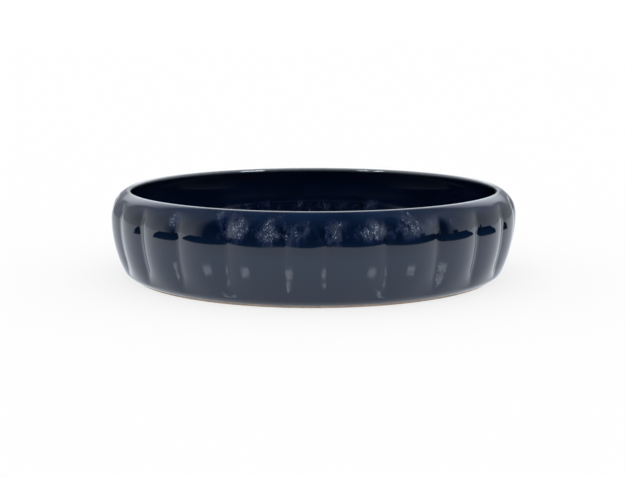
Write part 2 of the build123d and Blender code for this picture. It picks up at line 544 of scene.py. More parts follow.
def add_turned(name: str, profile: list[Pair], columns: int, finish: Material, capped: bool) -> Object:
    """Makes a turned object, smooth but for its sharp edges.

    Args:
        name: Its name.
        profile: Its half section, as points of radius and height.
        columns: Points in a ring.
        finish: Its material.
        capped: Whether the section is open at the axis, where the object is then capped.

    Returns:
        The object.
    """
    made = add_rings(name, turned_rings(profile, columns), finish, len(profile) - 1 if capped else None)
    made.data.shade_smooth()
    made.data.set_sharp_from_angle(angle=SHARP_EDGE)
    return made


def add_layer(mesh: Mesh, name: str, values: np.ndarray) -> None:
    """Gives the first points of a mesh a value each, and its other points zero.

    Args:
        mesh: The mesh.
        name: Name of the layer.
        values: The values, in the order of the points.
    """
    full = np.zeros(len(mesh.vertices), dtype=np.float32)
    full[: values.size] = values.ravel()
    mesh.attributes.new(name, "FLOAT", "POINT").data.foreach_set("value", full)


def tie(piece: Object, slot: Slot, node: str) -> None:
    """Ties a piece to the frame and reports it.

    Args:
        piece: The piece.
        slot: Material slot of the record; not used.
        node: Node of the frame that it stands for.
    """
    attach(piece, ROOT)
    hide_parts(node)
    log.info("%s: %d faces, for %s", piece.name, len(piece.data.polygons), node)


@dataclass(frozen=True)
class SkinRow:
    """A level row of points on the skin of a coat."""

    distance: float
    radius: float
    height: float
    angles: np.ndarray

    def even(self, value: float) -> np.ndarray:
        """The same value for each of its points."""
        return np.full(len(self.angles), value)


@dataclass(frozen=True)
class CrystalPatch:
    """A patch of pale crystals in the glaze, which on the front shoulder also places painted broken
    reflections of the lamps: its angle in degrees, the rest in millimetres.
    """

    angle: float
    height: float
    width: float
    reach: float
    strength: float = 1.0

    def density(self, row: SkinRow) -> np.ndarray:
        """How densely its crystals lie along a row.

        Args:
            row: The row.

        Returns:
            One value for each point.
        """
        apart = np.mod(row.angles - math.radians(self.angle) + math.pi, FULL_TURN) - math.pi
        across = apart * row.radius / (self.width * MM)
        upward = (row.height - self.height * MM) / (self.reach * MM)
        return self.strength * np.exp(-(across**2) - upward**2)


# Crystal patches outside; those on the front shoulder also paint broken reflections of the lamps as pale haze
# and flecks.
OUTSIDE_CRYSTALS_AND_GLINTS = (
    CrystalPatch(-13, 52, 28, 11, 0.36),
    CrystalPatch(13, 53, 42, 10, 0.36),
    CrystalPatch(-10, 51, 10, 12, 0.85),
    CrystalPatch(-4, 53, 10, 10, 0.55),
    CrystalPatch(4.5, 52, 10, 10, 0.55),
    CrystalPatch(8.5, 52, 7, 8, 0.6),
    CrystalPatch(15.2, 51.5, 8, 6, 1.35),
    CrystalPatch(21, 50, 6, 8, 0.6),
    CrystalPatch(25.5, 53, 8, 7, 0.85),
    CrystalPatch(26, 60, 12, 4, 0.7),
    CrystalPatch(32, 54, 9, 6, 0.7),
    CrystalPatch(37, 55, 9, 6, 0.7),
    CrystalPatch(-18, 53, 7, 7, 0.7),
    CrystalPatch(-21.8, 53, 8, 11, 1.15),
    CrystalPatch(-25.5, 60, 5, 4, 0.8),
    CrystalPatch(-39, 56, 6, 7, 1.0),
    CrystalPatch(-52, 56, 6, 5, 0.8),
    CrystalPatch(-68, 53, 9, 5),
    CrystalPatch(-96, 50, 10, 6, 1.2),
    CrystalPatch(-118, 55, 7, 4),
    CrystalPatch(-147, 51, 11, 5.5, 1.2),
    CrystalPatch(72, 52, 8, 5),
    CrystalPatch(88, 54, 6, 4, 0.8),
    CrystalPatch(112, 50, 11, 6, 1.3),
    CrystalPatch(139, 53, 8, 5),
    CrystalPatch(171, 52, 10, 6, 1.2),
)
INSIDE_CRYSTALS = (
    CrystalPatch(-173, 31, 50, 7, 0.85),
    CrystalPatch(158, 33, 24, 6, 0.6),
    CrystalPatch(-150, 29, 18, 5, 0.5),
    CrystalPatch(-112, 27, 26, 6, 0.4),
    CrystalPatch(108, 26, 24, 6, 0.45),
    CrystalPatch(62, 28, 28, 5, 0.4),
    CrystalPatch(-58, 29, 22, 5, 0.45),
    CrystalPatch(4, 27, 34, 6, 0.45),
)


@dataclass(frozen=True)
class CoatPlan:
    """Where a coat starts and ends along the outline, and how finely it is meshed."""

    name: str
    node: str
    start: float
    end: float
    rows: tuple[int, ...]
    per_crown: int
    per_groove: int
    capped: bool = False


@dataclass
class Shell:
    """A closed coat made of level rings: a skin that shows and a back that lies against the clay."""

    rings: list[np.ndarray]
    skin_normals: np.ndarray
    layers: dict[str, np.ndarray]

    def build(self, plan: CoatPlan, finish: Material) -> None:
        """Makes the piece.

        Args:
            plan: The coat's name, its node and whether it is capped in the middle.
            finish: Its material.
        """
        gap = len(self.skin_normals) - 1 if plan.capped else None
        piece = add_rings(plan.name, self.rings, finish, gap)
        self._shade(piece.data)
        for name, values in self.layers.items():
            add_layer(piece.data, name, values)
        tie(piece, Slot.GLAZE, plan.node)

    def _shade(self, mesh: Mesh) -> None:
        """Gives the skin its true normals and leaves the back flat.

        Args:
            mesh: The new mesh.
        """
        mesh.shade_smooth()
        corners = np.empty(len(mesh.loops), dtype=np.int32)
        mesh.loops.foreach_get("vertex_index", corners)
        owners = np.repeat(np.arange(len(mesh.polygons)), [len(face.vertices) for face in mesh.polygons])
        flat = np.empty(len(mesh.polygons) * 3, dtype=np.float32)
        mesh.polygon_normals.foreach_get("vector", flat)
        normals = flat.reshape(-1, 3)[owners]
        rows, count = self.skin_normals.shape[:2]
        on_skin = (corners < rows * count) & (owners < (rows - 1) * count)
        normals[on_skin] = self.skin_normals.reshape(-1, 3)[corners[on_skin]]
        mesh.normals_split_custom_set(normals.tolist())


@dataclass
class GlazeCoats:
    """The coats of glaze that show: outside, over the lip, and inside."""

    skin: FlutedSkin
    back_share: float = 0.6
    back_stride: int = 5
    edge_roll: float = 0.42 * MM
    edge_rows: int = 4
    middle_radius: float = 3 * MM
    break_outside: float = 0.9 * MM
    break_inside: float = 2.3 * MM
    break_share: float = 0.12
    # Heights over which the outside turns to the lighter, bluer lower colour: partly run glaze, partly
    # painted reflection of the pale floor.
    lower_run_and_floor_light_heights: Pair = (47 * MM, 34 * MM)
    thin_heights: Pair = (54 * MM, 62 * MM)

    def __post_init__(self) -> None:
        """Plans the coats and the measures that their skins carry."""
        outline, fluted_end = self.skin.outline, self.skin.fluted_end
        rim_end = outline.distance_to(Stretch.UPPER_INSIDE, self.skin.sizes.rim_coat_end)
        middle = outline.starts[-1] - self.middle_radius
        lip_length = outline.stretches[Stretch.LIP].length
        self.lip_top = outline.starts[Stretch.LIP] + self.break_share * lip_length
        self.plans = [
            CoatPlan("outer_coat", "outer_glaze", self.edge_roll, fluted_end, (9, 40, 10, 14), 16, 10),
            CoatPlan("rim_coat", "rim_glaze", fluted_end, rim_end, (8, 18, 9), 10, 4),
            CoatPlan("inner_coat", "inner_glaze", rim_end, middle, (8, 24, 14, 16), 8, 2, True),
        ]
        self.measures = {
            "pool": self.pooling,
            "run_and_floor_light": self.lower_run_and_floor_light,
            "rim": self.break_over_lip,
            "thin": self.thinning,
            "crystals_and_glints": self.crystals_and_glints,
        }

    def build(self, finish: Material) -> None:
        """Makes every coat with the material of the glaze."""
        for plan in self.plans:
            self.coat(plan).build(plan, finish)

    def distances(self, plan: CoatPlan) -> np.ndarray:
        """Where the rows of a coat lie along the outline.

        Args:
            plan: The coat.

        Returns:
            Distances from the edge of the glaze, rising.
        """
        breaks = [start for start in self.skin.outline.starts if plan.start < start < plan.end]
        stops = [plan.start, *breaks, plan.end]
        parts = [np.linspace(a, b, n, endpoint=False) for a, b, n in zip(stops, stops[1:], plan.rows)]
        return np.append(np.concatenate(parts), plan.end)

    def coat(self, plan: CoatPlan) -> Shell:
        """Works out one coat.

        Args:
            plan: Its extent and fineness.

        Returns:
            The closed shell.
        """
        angles = self.skin.columns(plan.per_crown, plan.per_groove)
        distances = self.distances(plan)
        skin = [self.skin.section(distance, angles) for distance in distances]
        normals = [self.skin.normals(distance, angles) for distance in distances]
        rows = [SkinRow(distance, *self.skin.outline.at(distance), angles) for distance in distances]
        layers = {name: [measure(row) for row in rows] for name, measure in self.measures.items()}
        if plan.start == self.edge_roll:
            bead, bead_normals = self.rolled_edge(skin[0], normals[0])
            skin, normals = bead + skin, bead_normals + normals
            layers = {name: values[:1] * len(bead) + values for name, values in layers.items()}
        depth = self.skin.sizes.glaze * self.back_share
        picked = [*range(len(skin) - 1, 0, -self.back_stride), 0]
        back = [skin[number] - normals[number] * depth for number in picked]
        fields = {name: np.array(values) for name, values in layers.items()}
        return Shell(skin + back, np.array(normals), fields)

    def rolled_edge(self, points: np.ndarray, normals: np.ndarray) -> tuple[list, list]:
        """The round bead in which the glaze ends above the bare foot.

        Args:
            points: Lowest row of the skin.
            normals: Its normals.

        Returns:
            The rows of the bead and their normals, from the foot up.
        """
        downward = np.array((0.0, 0.0, -1.0))
        along = downward - normals * (normals @ downward)[:, None]
        along /= np.linalg.norm(along, axis=1, keepdims=True)
        rows, facings = [], []
        for number in range(self.edge_rows, 0, -1):
            turn = QUARTER_TURN * number / self.edge_rows
            sunk = points - normals * self.edge_roll * (1 - math.cos(turn))
            rows.append(sunk + along * self.edge_roll * math.sin(turn))
            facings.append(normals * math.cos(turn) + along * math.sin(turn))
        return rows, facings

    def pooling(self, row: SkinRow) -> np.ndarray:
        """How thick the glaze has run together.

        Args:
            row: The row.

        Returns:
            A value for each point, from 0 on the crowns to 1 in the grooves.
        """
        if row.distance > self.skin.fluted_end:
            return row.even(0.0)
        depth = self.skin.groove_depth_at(row.height)
        sunk = row.radius - self.skin.lobed_radii(row.radius, depth, row.angles)
        return np.clip(sunk / self.skin.sizes.groove_depth, 0, 1) ** 2

    def lower_run_and_floor_light(self, row: SkinRow) -> np.ndarray:
        """How much of the lighter, bluer lower colour the outside gets, from 0 at the shoulder to 1 on the
        flank: partly glaze that has run down, partly painted reflection of the pale floor.
        """
        return row.even(self.share_between(row, self.lower_run_and_floor_light_heights))

    def thinning(self, row: SkinRow) -> np.ndarray:
        """How thin the glaze has drawn on the shoulder, from 0 on the flank to 1 at the lip."""
        return row.even(self.share_between(row, self.thin_heights))

    def share_between(self, row: SkinRow, heights: Pair) -> float:
        """How far a row of the outside lies from one height to another, and 0 inside."""
        share = clamped((row.height - heights[0]) / (heights[1] - heights[0]))
        return share if row.distance < self.lip_top else 0.0

    def break_over_lip(self, row: SkinRow) -> np.ndarray:
        """How thin and pale the glaze is, up to 1 on the top of the lip."""
        reach = self.break_inside if row.distance > self.lip_top else self.break_outside
        return row.even(math.exp(-(((row.distance - self.lip_top) / reach) ** 2)))

    def crystals_and_glints(self, row: SkinRow) -> np.ndarray:
        """How densely the crystals lie, from 0; where patches meet they add up, also past 1. On the front
        shoulder this also places painted broken reflections of the lamps.
        """
        patches = INSIDE_CRYSTALS if row.distance > self.lip_top else OUTSIDE_CRYSTALS_AND_GLINTS
        return sum(patch.density(row) for patch in patches)


@dataclass
class BareFoot:
    """The unglazed ring that the basin stands on."""

    sizes: BasinSizes
    outline: GlazedOutline
    columns: int = 288
    edge_round: float = 0.6 * MM
    side_end: float = 0.72 * MM
    round_steps: int = 5
    side_steps: int = 6
    sole_steps: int = 8

    def __post_init__(self) -> None:
        """Works out the clay's heel under the glaze and the radii of the ring."""
        glazed = self.outline.stretches[Stretch.HEEL]
        clay = replace(glazed, radius=glazed.radius - self.sizes.glaze)
        low, high = clay.angle_at(self.sizes.glaze_edge_height), clay.angle_at(self.sizes.ring_height)
        self.heel = replace(clay, start=low, end=high)
        self.outer = self.heel.at(0)[0] - self.sizes.foot_bare_inset
        self.inner = self.outer - self.sizes.ring_width

    def profile(self) -> list[Pair]:
        """The closed half section of the ring, from its inner top down and round to the heel.

        Returns:
            Points of radius and height.
        """
        r, top = self.edge_round, self.sizes.ring_height
        inner_round = Arc(self.inner + r, r, r, math.pi, 3 * QUARTER_TURN)
        outer_round = Arc(self.outer - r, r, r, 3 * QUARTER_TURN, FULL_TURN)
        sole = Run((self.inner + r, 0.0), (self.outer - r, 0.0))
        return [
            *[(self.inner, top * (1 - n / self.side_steps)) for n in range(self.side_steps - 1)],
            (self.inner, self.side_end),
            *spread_points(inner_round, self.round_steps),
            *spread_points(sole, self.sole_steps)[1:-1],
            *spread_points(outer_round, self.round_steps),
            *spread_points(self.heel, self.side_steps),
        ]

    def build(self, finish: Material) -> None:
        """Makes the ring with its material."""
        tie(add_turned("bare_foot", self.profile(), self.columns, finish, False), Slot.CLAY, "foot_ring")


@dataclass
class UndersideCoat:
    """The coat under the floor inside the foot, with the rings left by turning."""

    sizes: BasinSizes
    foot: BareFoot
    columns: int = 144
    rows: int = 60
    middle_share: float = 0.02
    meniscus: float = 1.6 * MM
    meniscus_depth: float = 0.35 * MM
    ring_pitch: float = 5.5 * MM
    ring_height: float = 0.06 * MM
    gap: float = 0.02 * MM

    @property
    def radius(self) -> float:
        """Outer radius of the coat."""
        return self.foot.inner - self.gap

    def level(self, radius: float) -> float:
        """Height of the coat's face, with its rings and its meniscus at the foot.

        Args:
            radius: Distance from the axis.

        Returns:
            The height.
        """
        face = self.sizes.ring_height - self.sizes.glaze
        waves = self.ring_height * (1 + math.cos(FULL_TURN * radius / self.ring_pitch)) / 2
        return face + waves - self.meniscus_depth * math.exp((radius - self.radius) / self.meniscus)

    def build(self, finish: Material) -> None:
        """Makes the coat.

        Args:
            finish: Its material.
        """
        radii = self.radius * np.sqrt(np.linspace(self.middle_share**2, 1, self.rows))
        top = self.sizes.ring_height - self.gap
        profile = [(radius, self.level(radius)) for radius in radii.tolist()]
        profile += [(self.radius, top), (float(radii[0]), top)]
        piece = add_turned("underside_coat", profile, self.columns, finish, True)
        tie(piece, Slot.GLAZE, "underside_glaze")


@dataclass(frozen=True)
class Noise:
    """A noise texture: its patches in a metre, how many finer layers it has, and how strong they are."""

    scale: float
    detail: float
    roughness: float


@dataclass(frozen=True)
class Levels:
    """A smooth change: the values between which it happens, and what comes out at both."""

    low: float
    high: float
    to_low: float = 0.0
    to_high: float = 1.0


class Sketch:
    """A node tree that is being drawn, with short calls for the nodes that the finishes use."""

    def __init__(self, tree: NodeTree) -> None:
        """Starts on an empty tree."""
        self.tree = tree
        self.tree.nodes.clear()

    def node(self, kind: str, inputs: dict | None = None, **settings: object) -> Node:
        """Adds a node.

        Args:
            kind: Its type.
            inputs: Plain values, outputs or nodes for its inputs, by name or number.
            **settings: Values of its own properties.

        Returns:
            The node.
        """
        made = self.tree.nodes.new(kind)
        for name, value in settings.items():
            setattr(made, name, value)
        for name, value in (inputs or {}).items():
            source = value.outputs[0] if isinstance(value, Node) else value
            if isinstance(source, NodeSocket):
                self.tree.links.new(source, made.inputs[name])
            else:
                made.inputs[name].default_value = source
        return made

    def group(self, tree: NodeTree, **inputs: object) -> dict[str, NodeSocket]:
        """Places a node group with its inputs and gives its outputs."""
        return self.node("ShaderNodeGroup", inputs, node_tree=tree).outputs

    def math(self, operation: str, first: object, second: object = 0.0, clamp: bool = False) -> NodeSocket:
        """The result of a Math node; clamp keeps it between 0 and 1."""
        return self.node(
            "ShaderNodeMath", {0: first, 1: second}, operation=operation, use_clamp=clamp
        ).outputs[0]

    def times(self, first: object, second: object, clamp: bool = False) -> NodeSocket:
        """A product; clamp keeps it between 0 and 1."""
        return self.math("MULTIPLY", first, second, clamp)

    def plus(self, first: object, second: object, clamp: bool = False) -> NodeSocket:
        """A sum; clamp keeps it between 0 and 1."""
        return self.math("ADD", first, second, clamp)

    def ramp(self, value: NodeSocket, levels: Levels) -> NodeSocket:
        """A value that has been changed smoothly between levels."""
        inputs = {
            "Value": value,
            "From Min": levels.low,
            "From Max": levels.high,
            "To Min": levels.to_low,
            "To Max": levels.to_high,
        }
        return self.node("ShaderNodeMapRange", inputs, interpolation_type="SMOOTHSTEP").outputs[0]

    def noise(self, place: NodeSocket, noise: Noise) -> NodeSocket:
        """The value of a noise texture, about 0.5."""
        inputs = {"Scale": noise.scale, "Detail": noise.detail, "Roughness": noise.roughness}
        return self.node("ShaderNodeTexNoise", {"Vector": place, **inputs}).outputs["Fac"]

    def cells(self, place: NodeSocket, scale: float) -> dict[str, NodeSocket]:
        """The outputs of a cell texture with this many cells in a metre."""
        return self.node("ShaderNodeTexVoronoi", {"Vector": place, "Scale": scale}).outputs

    def blend(self, share: object, first: object, second: object) -> NodeSocket:
        """A mix of two colours, by the share of the second."""
        return self.node("ShaderNodeMix", {0: share, 6: first, 7: second}, data_type="RGBA").outputs[2]

    def layer(self, name: str) -> NodeSocket:
        """The value of a mesh's layer."""
        return self.node("ShaderNodeAttribute", attribute_name=name).outputs["Fac"]

    def place(self) -> NodeSocket:
        """The object's own coordinates."""
        return self.node("ShaderNodeTexCoord").outputs["Object"]

    def bump(self, height: NodeSocket, distance: float) -> NodeSocket:
        """The normal of a surface that a height raises by up to a distance."""
        inputs = {"Strength": 1.0, "Distance": distance, "Height": height}
        return self.node("ShaderNodeBump", inputs).outputs[0]

    def finish(self, surface: Node) -> None:
        """Ends a material with its surface shader."""
        self.node("ShaderNodeOutputMaterial", {"Surface": surface})


def sketch_on(data: Material | World) -> Sketch:
    """Starts the node tree of a new material or world."""
    data.use_nodes = True
    return Sketch(data.node_tree)


FLOAT = "NodeSocketFloat"
VECTOR = "NodeSocketVector"
COLOUR = "NodeSocketColor"


def start_group(
    name: str, inputs: dict[str, str], outputs: dict[str, str]
) -> tuple[Sketch, dict[str, NodeSocket]]:
    """Makes a node group with its sockets.

    Args:
        name: Its name.
        inputs: Kinds of its inputs, by name.
        outputs: Kinds of its outputs, by name.

    Returns:
        The group's drawing, and what its inputs give.
    """
    tree = bpy.data.node_groups.new(name, "ShaderNodeTree")
    for way, sockets in (("INPUT", inputs), ("OUTPUT", outputs)):
        for socket, kind in sockets.items():
            tree.interface.new_socket(name=socket, in_out=way, socket_type=kind)
    sketch = Sketch(tree)
    return sketch, sketch.node("NodeGroupInput").outputs


@dataclass(frozen=True)
class ClayGrain:
    """A group for the grain of fired clay: a height, a mottling and scattered iron specks."""

    fine: Noise = Noise(1900, 4, 0.65)
    coarse: Noise = Noise(420, 3, 0.6)
    fine_share: float = 0.6
    mottle: Noise = Noise(70, 4, 0.6)
    mottle_levels: Levels = Levels(0.35, 0.68)
    speck_cells: float = 620
    speck_edge: Levels = Levels(0.12, 0.26, 1, 0)
    speck_field: Noise = Noise(300, 2, 0.5)
    speck_levels: Levels = Levels(0.56, 0.62)

    def make(self) -> NodeTree:
        """Makes the group.

        Returns:
            The node group.
        """
        outputs = {"Height": FLOAT, "Mottle": FLOAT, "Speck": FLOAT}
        sketch, given = start_group("clay_grain", {"Place": VECTOR, "Specks": FLOAT}, outputs)
        place = given["Place"]
        fine = sketch.times(sketch.noise(place, self.fine), self.fine_share)
        coarse = sketch.times(sketch.noise(place, self.coarse), 1 - self.fine_share)
        near = sketch.ramp(sketch.cells(place, self.speck_cells)["Distance"], self.speck_edge)
        chosen = sketch.ramp(sketch.noise(place, self.speck_field), self.speck_levels)
        results = {
            "Height": sketch.plus(fine, coarse),
            "Mottle": sketch.ramp(sketch.noise(place, self.mottle), self.mottle_levels),
            "Speck": sketch.times(sketch.times(near, chosen), given["Specks"]),
        }
        sketch.node("NodeGroupOutput", results)
        return sketch.tree


@dataclass(frozen=True)
class GlazeDepth:
    """A group for the colour of the glaze where it lies thin or thick, with clouding."""

    clouds: Noise = Noise(34, 5, 0.62)
    cloud_levels: Levels = Levels(0.32, 0.7)
    cloud_share: float = 0.55
    ripple: Noise = Noise(75, 2, 0.4)

    def make(self) -> NodeTree:
        """Makes the group.

        Returns:
            The node group.
        """
        inputs = {"Place": VECTOR, "Pool": FLOAT, "Body": COLOUR, "Deep": COLOUR}
        sketch, given = start_group("glaze_depth", inputs, {"Colour": COLOUR, "Ripple": FLOAT})
        clouds = sketch.ramp(sketch.noise(given["Place"], self.clouds), self.cloud_levels)
        pooled = sketch.times(given["Pool"], 1 - self.cloud_share)
        share = sketch.plus(sketch.times(clouds, self.cloud_share), pooled, clamp=True)
        results = {
            "Colour": sketch.blend(share, given["Body"], given["Deep"]),
            "Ripple": sketch.noise(given["Place"], self.ripple),
        }
        sketch.node("NodeGroupOutput", results)
        return sketch.tree


@dataclass(frozen=True)
class Dots:
    """Scattered dots: their cells in a metre, their radius as a share of a cell, and how they crowd."""

    cells: float
    reach: float
    crowding: float
    choice: Levels = Levels(0.0, 0.2)

    def draw(self, sketch: Sketch, place: NodeSocket, crowd: NodeSocket) -> NodeSocket:
        """Draws the dots, more of them where they crowd.

        Args:
            sketch: The group's drawing.
            place: Coordinates.
            crowd: Share of the cells that hold a dot.

        Returns:
            How bright the dots are, from 0 to 1.
        """
        cells = sketch.cells(place, self.cells)
        lot = sketch.node("ShaderNodeSeparateColor", {0: cells["Color"]})
        chosen = sketch.ramp(sketch.math("SUBTRACT", sketch.times(crowd, self.crowding), lot), self.choice)
        edge = Levels(self.reach / 2, self.reach, 1.0, 0.0)
        return sketch.times(chosen, sketch.ramp(cells["Distance"], edge))


@dataclass(frozen=True)
class CrystalVeil:
    """A group for the fine pale crystals in patches of the glaze, drawn out a little by its flow; on the
    front shoulder its haze and flecks are also painted broken reflections of the lamps.
    """

    flow: tuple[float, float, float] = (1.0, 1.0, 0.55)
    clouds: Noise = Noise(95, 6, 0.75)
    cloud_levels: Levels = Levels(0.36, 0.66, 0.08, 1.7)
    veil_levels: Levels = Levels(0.05, 1.8)
    clusters: Noise = Noise(260, 3, 0.65)
    cluster_levels: Levels = Levels(0.36, 0.6, 0.1, 1.0)
    crowd_levels: Levels = Levels(0.5, 2.0)
    fine: Dots = Dots(1150, 0.36, 1.25)
    coarse: Dots = Dots(640, 0.28, 0.75)
    strokes: Noise = Noise(380, 3, 0.6)
    stroke_middle: float = 0.52
    stroke_levels: Levels = Levels(0.0, 0.03, 0.2, 0.0)

    def make(self) -> NodeTree:
        """Makes the group.

        Returns:
            The node group.
        """
        outputs = {"Veil": FLOAT, "Fleck": FLOAT}
        sketch, given = start_group("crystal_veil", {"Place": VECTOR, "Patch": FLOAT}, outputs)
        place = given["Place"]
        drawn = sketch.node("ShaderNodeVectorMath", {0: place, 1: self.flow}, operation="MULTIPLY").outputs[0]
        clouds = sketch.ramp(sketch.noise(drawn, self.clouds), self.cloud_levels)
        spread = sketch.times(given["Patch"], clouds)
        clusters = sketch.ramp(sketch.noise(drawn, self.clusters), self.cluster_levels)
        crowd = sketch.times(sketch.ramp(spread, self.crowd_levels), clusters)
        fine, coarse = self.fine.draw(sketch, place, crowd), self.coarse.draw(sketch, drawn, crowd)
        off = sketch.math("SUBTRACT", sketch.noise(drawn, self.strokes), self.stroke_middle)
        strokes = sketch.times(sketch.ramp(sketch.math("ABSOLUTE", off), self.stroke_levels), crowd)
        fleck_and_glint = sketch.math("MAXIMUM", sketch.math("MAXIMUM", fine, coarse), strokes)
        sketch.node("NodeGroupOutput", {"Veil": sketch.ramp(spread, self.veil_levels), "Fleck": fleck_and_glint})
        return sketch.tree


@dataclass(frozen=True)
class GlazeFinish:
    """The navy glaze: deep, glossy, clouded, pale where it breaks over the lip. Its colour also holds painted
    light: a lighter, bluer lower flank for the pale floor's reflection, and pale haze and flecks on the front
    shoulder for broken lamp reflections.
    """

    name: str = "navy_glaze"
    body: Colour = (0.0012, 0.0064, 0.022, 1)
    deep: Colour = (0.0005, 0.0026, 0.01, 1)
    # Lighter, bluer lower flank: partly thicker run glaze, partly painted reflection of the pale floor.
    low: Colour = (0.0045, 0.0165, 0.041, 1)
    shoulder: Colour = (0.006, 0.019, 0.052, 1)
    thin_veil: Colour = (0.0018, 0.0085, 0.041, 1)
    thick_veil: Colour = (0.022, 0.035, 0.068, 1)
    # Pale crystal flecks, which on the front shoulder are also painted glints of the lamps.
    fleck_and_glint: Colour = (0.36, 0.44, 0.6, 1)
    broken: Colour = (0.44, 0.48, 0.53, 1)
    shoulder_clouds: Noise = Noise(60, 4, 0.6)
    shoulder_levels: Levels = Levels(0.25, 0.65, 0.4, 1.0)
    veil_cover: float = 2.5
    wear: Noise = Noise(210, 4, 0.7)
    wear_least: float = 0.72
    wear_range: float = 0.5
    roughness: float = 0.05
    veil_roughness: float = 0.2
    ior: float = 1.54
    ripple: float = 0.018 * MM

    def make(self, depth: NodeTree, crystals_and_glints: NodeTree) -> Material:
        """Makes the material.

        Args:
            depth: Group of the glaze's depth.
            crystals_and_glints: Group of the crystal veil.

        Returns:
            The material.
        """
        material = bpy.data.materials.new(self.name)
        sketch = sketch_on(material)
        place = sketch.place()
        base = sketch.group(depth, Place=place, Pool=sketch.layer("pool"), Body=self.body, Deep=self.deep)
        crystal = sketch.group(crystals_and_glints, Place=place, Patch=sketch.layer("crystals_and_glints"))
        # Pale haze and flecks of crystals, partly painted broken lamp reflections on the front shoulder.
        veil = crystal["Veil"]
        # Paints the lower flank lighter and bluer: partly run glaze, partly painted reflection of the pale
        # floor.
        colour = sketch.blend(sketch.layer("run_and_floor_light"), base["Colour"], self.low)
        clouds = sketch.ramp(sketch.noise(place, self.shoulder_clouds), self.shoulder_levels)
        colour = sketch.blend(sketch.times(sketch.layer("thin"), clouds), colour, self.shoulder)
        haze = sketch.blend(veil, self.thin_veil, self.thick_veil)
        colour = sketch.blend(sketch.times(veil, self.veil_cover, clamp=True), colour, haze)
        colour = sketch.blend(crystal["Fleck"], colour, self.fleck_and_glint)
        worn = sketch.plus(sketch.times(sketch.noise(place, self.wear), self.wear_range), self.wear_least)
        colour = sketch.blend(sketch.times(sketch.layer("rim"), worn, clamp=True), colour, self.broken)
        inputs = {
            "Base Color": colour,
            "Roughness": sketch.plus(sketch.times(veil, self.veil_roughness), self.roughness),
            "IOR": self.ior,
            "Normal": sketch.bump(base["Ripple"], self.ripple),
        }
        sketch.finish(sketch.node("ShaderNodeBsdfPrincipled", inputs))
        return material


@dataclass(frozen=True)
class ClayFinish:
    """Bare fired stoneware."""

    name: str
    light: Colour
    dark: Colour
    speck: Colour = (0.06, 0.04, 0.03, 1)
    specks: float = 0.6
    roughness: float = 0.78
    roughness_range: float = 0.2
    grain: float = 0.06 * MM

    def make(self, grain: NodeTree) -> Material:
        """Makes the material.

        Args:
            grain: Group of the clay's grain.

        Returns:
            The material.
        """
        material = bpy.data.materials.new(self.name)
        sketch = sketch_on(material)
        clay = sketch.group(grain, Place=sketch.place(), Specks=self.specks)
        mottled = sketch.blend(clay["Mottle"], self.light, self.dark)
        rough = sketch.times(clay["Height"], self.roughness_range)
        inputs = {
            "Base Color": sketch.blend(clay["Speck"], mottled, self.speck),
            "Roughness": sketch.plus(rough, self.roughness - self.roughness_range / 2),
            "Normal": sketch.bump(clay["Height"], self.grain),
        }
        sketch.finish(sketch.node("ShaderNodeBsdfPrincipled", inputs))
        return material


@dataclass(frozen=True)
class Card:
    """A flat lamp that shows in the reflections of some objects alone; its directions are in degrees."""

    name: str
    azimuth: float
    elevation: float
    width: float
    height: float
    strength: float
    shown_in: ShownIn
    soft: bool = False
    distance: float = 2.1


@dataclass(frozen=True)
class DarkBlock:
    """A dark part of the room beyond the white table: its two sides and its top, in degrees."""

    name: str
    start: float
    end: float
    top: float


